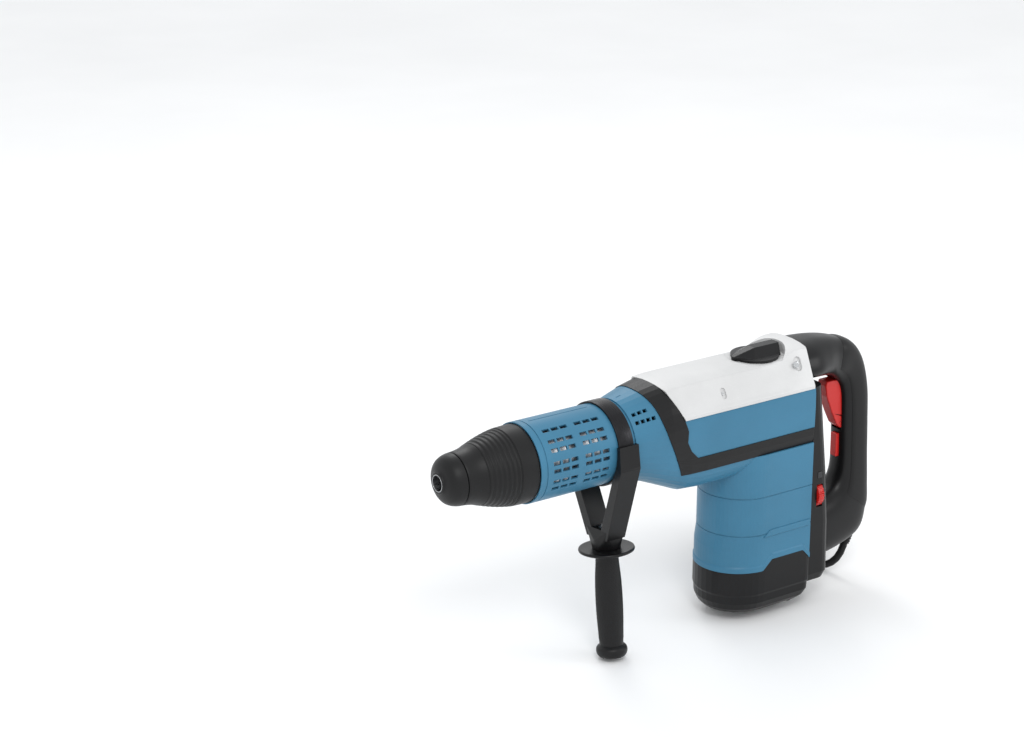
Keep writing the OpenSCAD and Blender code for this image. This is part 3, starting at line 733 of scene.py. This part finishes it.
def motor_outline():
    """Points round the motor from the near rear corner, with outward directions."""
    points = [(BODY_REAR - 2.0 * i, -MOTOR_R, 0, -1) for i in range(FLAT_POINTS)]
    for a in range(270, 89, -3):
        c, s = math.cos(math.radians(a)), math.sin(math.radians(a))
        points.append((MOTOR_X + (MOTOR_R + MOTOR_SWELL) * c, MOTOR_R * s, c, s))
    return points + [(x, -y, 0, 1) for x, y, _, _ in reversed(points[:FLAT_POINTS])]


def make_rim():
    """A raised rim that follows the cap's line round the motor housing."""
    low, high, top, proud = 0.25, 6.0, 8.2, 1.1
    rings = []
    for x, y, nx, ny in motor_outline():
        z = at(CAP_LINE, x)
        rings.append([(x - nx, y - ny, z + low), (x + nx * proud, y + ny * proud, z + low),
                      (x + nx * proud, y + ny * proud, z + high), (x - nx * 0.3, y - ny * 0.3, z + top),
                      (x - nx, y - ny, z + top)])
    loft("motor_skirt_rim", rings, "root", "blue_plastic", crease=30)


def make_strip(side, tag):
    """A raised rail along the motor's flat side, cut back at a slant in front."""
    top, bottom, rear = -138.5, -146, BODY_REAR - 2
    rings = []
    for rise, inset in ((-1.0, 0.0), (0.9, 0.0), (1.5, 0.8)):
        y = side * (MOTOR_R + rise)
        outline = [(rear, top - inset), (424 + inset, top - inset), (415 + 1.6 * inset, bottom + inset),
                   (rear, bottom + inset)]
        rings.append([(x, y, z) for x, z in outline])
    loft(f"motor_rail_{tag}", rings, "root", "blue_plastic", crease=20)


make_rim()
make_strip(-1, "near")
make_strip(1, "far")


# ---- side handle ----

SWING = math.radians(-6)


def swung(x, y, z):
    """The side handle hangs at a small angle round the barrel."""
    return (x, y * math.cos(SWING) - z * math.sin(SWING), y * math.sin(SWING) + z * math.cos(SWING))


def grip_place(along, y, z):
    """Puts a turned point on the side handle's own axis."""
    return swung(CLAMP_X + y, z, along)


GRIP_LINE = [(-129, 12.6), (-140, 13.0), (-160, 14.5), (-182, 15.1), (-203, 14.9), (-222, 14.1),
             (-236.4, 13.6)]
GRIP_TOP, GRIP_FOOT = -128.8, -237.5
BORE_R, FOOT_BORE_R = 6.0, 7.0
DIAMONDS_ROUND = 15
DIAMOND_PITCH = 4.6
DIAMOND_HEIGHT = 0.75


def diamonds(z, angle):
    """Small pyramids in diagonal rows, fading out at both ends of the grip."""
    if not -234 < z < -132:
        return 0
    fade = min(1.0, max(0.0, (-133 - z) / 3)) * min(1.0, max(0.0, (z + 233) / 3))
    a = abs(((angle * DIAMONDS_ROUND / TAU * 2 + z / DIAMOND_PITCH) % 1.0) - 0.5) * 2
    b = abs(((angle * DIAMONDS_ROUND / TAU * 2 - z / DIAMOND_PITCH) % 1.0) - 0.5) * 2
    return DIAMOND_HEIGHT * fade * (min(a, b) - 0.35)


def make_grip():
    """The side grip: moulded rubber with a raised diamond pattern, and its turned end cap."""
    line = [(-z, radius) for z, radius in through(GRIP_LINE, 8)]
    skin = [(GRIP_TOP, 11.6)]
    z = -129.4
    while z > -237.0:
        skin.append((z, at(line, -z)))
        z -= 0.77
    skin += [(GRIP_FOOT, 13.6), (GRIP_FOOT, FOOT_BORE_R), (-222, FOOT_BORE_R), (-222, BORE_R),
             (GRIP_TOP, BORE_R)]
    lathe("grip_sleeve", skin, grip_place, "grip", "black_rubber", ["side_grip"], steps=180, crease=60,
          relief=diamonds)
    bulge = through([(-237.9, 13.9), (-240.0, 16.6), (-243.0, 17.8), (-247.0, 17.5), (-250.2, 15.6),
                     (-251.8, 12.0), (-252.0, 6.0)], 4)
    cap = [(-237.6, 0.5), (-237.6, 13.6)] + bulge + [(-252.0, 0.5)]
    lathe("grip_cap", cap, grip_place, "grip", "black_rubber", ["grip_end_cap"], crease=60)


def make_guard():
    """The round hand guard, with a rolled rim and a collar."""
    guard = [(-122.3, 5.0), (-122.3, 29.0), (-122.1, 30.5), (-122.6, 31.6), (-123.8, 32.0),
             (-125.2, 31.6), (-125.9, 30.4), (-125.8, 28.8), (-125.8, 22.5), (-127.4, 19.0),
             (-128.7, 16.0), (-128.7, 5.0)]
    lathe("hand_guard", guard, grip_place, "grip", "black_plastic", ["guard_disc"], crease=50)


make_grip()
make_guard()


# ---- cord boot, wound springs and rounded edges ----

def make_boot():
    """The cord's strain relief: a tapered rubber boot with raised rings round it."""
    top, end = Vector((594, 0, -186)), Vector((586, 0, -211))
    down = (end - top).normalized()
    side = down.cross(Vector((0, 1, 0))).normalized()
    length = (end - top).length
    steps, turns, sides = 60, 6, 40
    plain = 0.18
    rings = []
    for k in range(steps + 1):
        t = k / steps
        wave = math.sin(TAU * turns * max(0.0, t - plain) / 0.82)
        r = 8.4 - 2.6 * t + (0.45 if wave > 0 else -0.25) * (t > plain)
        centre = top + down * length * t
        ring = []
        for i in range(sides):
            a = TAU * i / sides
            ring.append((centre + side * r * math.cos(a) + Vector((0, r * math.sin(a), 0)))[:])
        rings.append(ring)
    return loft("cord_boot_ribbed", rings, "handle", "cord_rubber", ["cord_boot"], crease=60)


def make_tie():
    """The strap that holds the coil together."""
    half, sides, square = 18.4, 48, 0.45
    outline = [(half * sign_power(math.cos(TAU * i / sides), square),
                half * sign_power(math.sin(TAU * i / sides), square)) for i in range(sides)]
    angle = math.radians(20)
    floor = -BARREL_AXIS_TO_FLOOR
    rings = []
    for offset, inset in ((-5, 0), (-4.4, -0.7), (4.4, -0.7), (5, 0), (5, 1.2), (-5, 1.2)):
        scale = (half - inset) / half
        ring = []
        for u, v in outline:
            r = COIL_MID_R + u * scale
            z = max(floor + 0.1, floor + 18 + v * scale)
            ring.append((COIL_X + r * math.cos(angle) - offset * math.sin(angle),
                         COIL_Y + r * math.sin(angle) + offset * math.cos(angle), z))
        rings.append(ring)
    loft("cord_tie", rings, "handle", "black_rubber", closed=True, crease=50)


def make_spring(name, start, end, coil_r, wire_r, turns, body, replaced):
    """A wound spring with closed ends, between two points on a line along X."""
    steps = turns * TURN_STEPS
    points = []
    for k in range(steps + 1):
        t = k / steps
        a = TAU * turns * t
        lead = min(1.0, max(0.0, (t * turns - 0.8) / (turns - 1.6)))
        points.append(((start[0] + (end[0] - start[0]) * (0.05 + 0.9 * lead)) * MM,
                       (start[1] + coil_r * math.cos(a)) * MM, (start[2] + coil_r * math.sin(a)) * MM))
    spring = tube_mesh(name, points, wire_r * MM, body, 2)
    spring.data.materials.append(MATERIALS["steel"])
    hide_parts(*replaced)


BOOT = make_boot()
make_tie()
make_spring("sleeve_coil_spring", (48.5, 0, 0), (57.5, 0, 0), 20.4, 1.1, 4, "spindle", ["sleeve_spring"])
for spring_y, tag in ((-27, "near"), (27, "far")):
    make_spring(f"handle_coil_spring_{tag}", (488, spring_y, 42), (500, spring_y, 42), 4.1, 0.8, 5, "handle",
                ["handle_springs"])


def round_edges(node_name, width):
    """Rounds a CAD node's sharp edges with modifiers, leaving its mesh as it is."""
    node = NODES[node_name]
    weld = node.modifiers.new("weld", "WELD")
    weld.merge_threshold = 0.01 * MM
    bevel = node.modifiers.new("round", "BEVEL")
    bevel.width = width * MM
    bevel.segments = 3
    bevel.limit_method = "ANGLE"
    bevel.angle_limit = math.radians(35)
    bevel.use_clamp_overlap = True


EDGE_WIDTHS = {"trigger": 1.8, "lock_button": 1.2, "selector_knob": 0.9, "handle_bracket": 1.6,
               "power_plug": 3.0, "speed_dial": 0.4, "clamp_band": 0.5}
for node_name, width in EDGE_WIDTHS.items():
    round_edges(node_name, width)
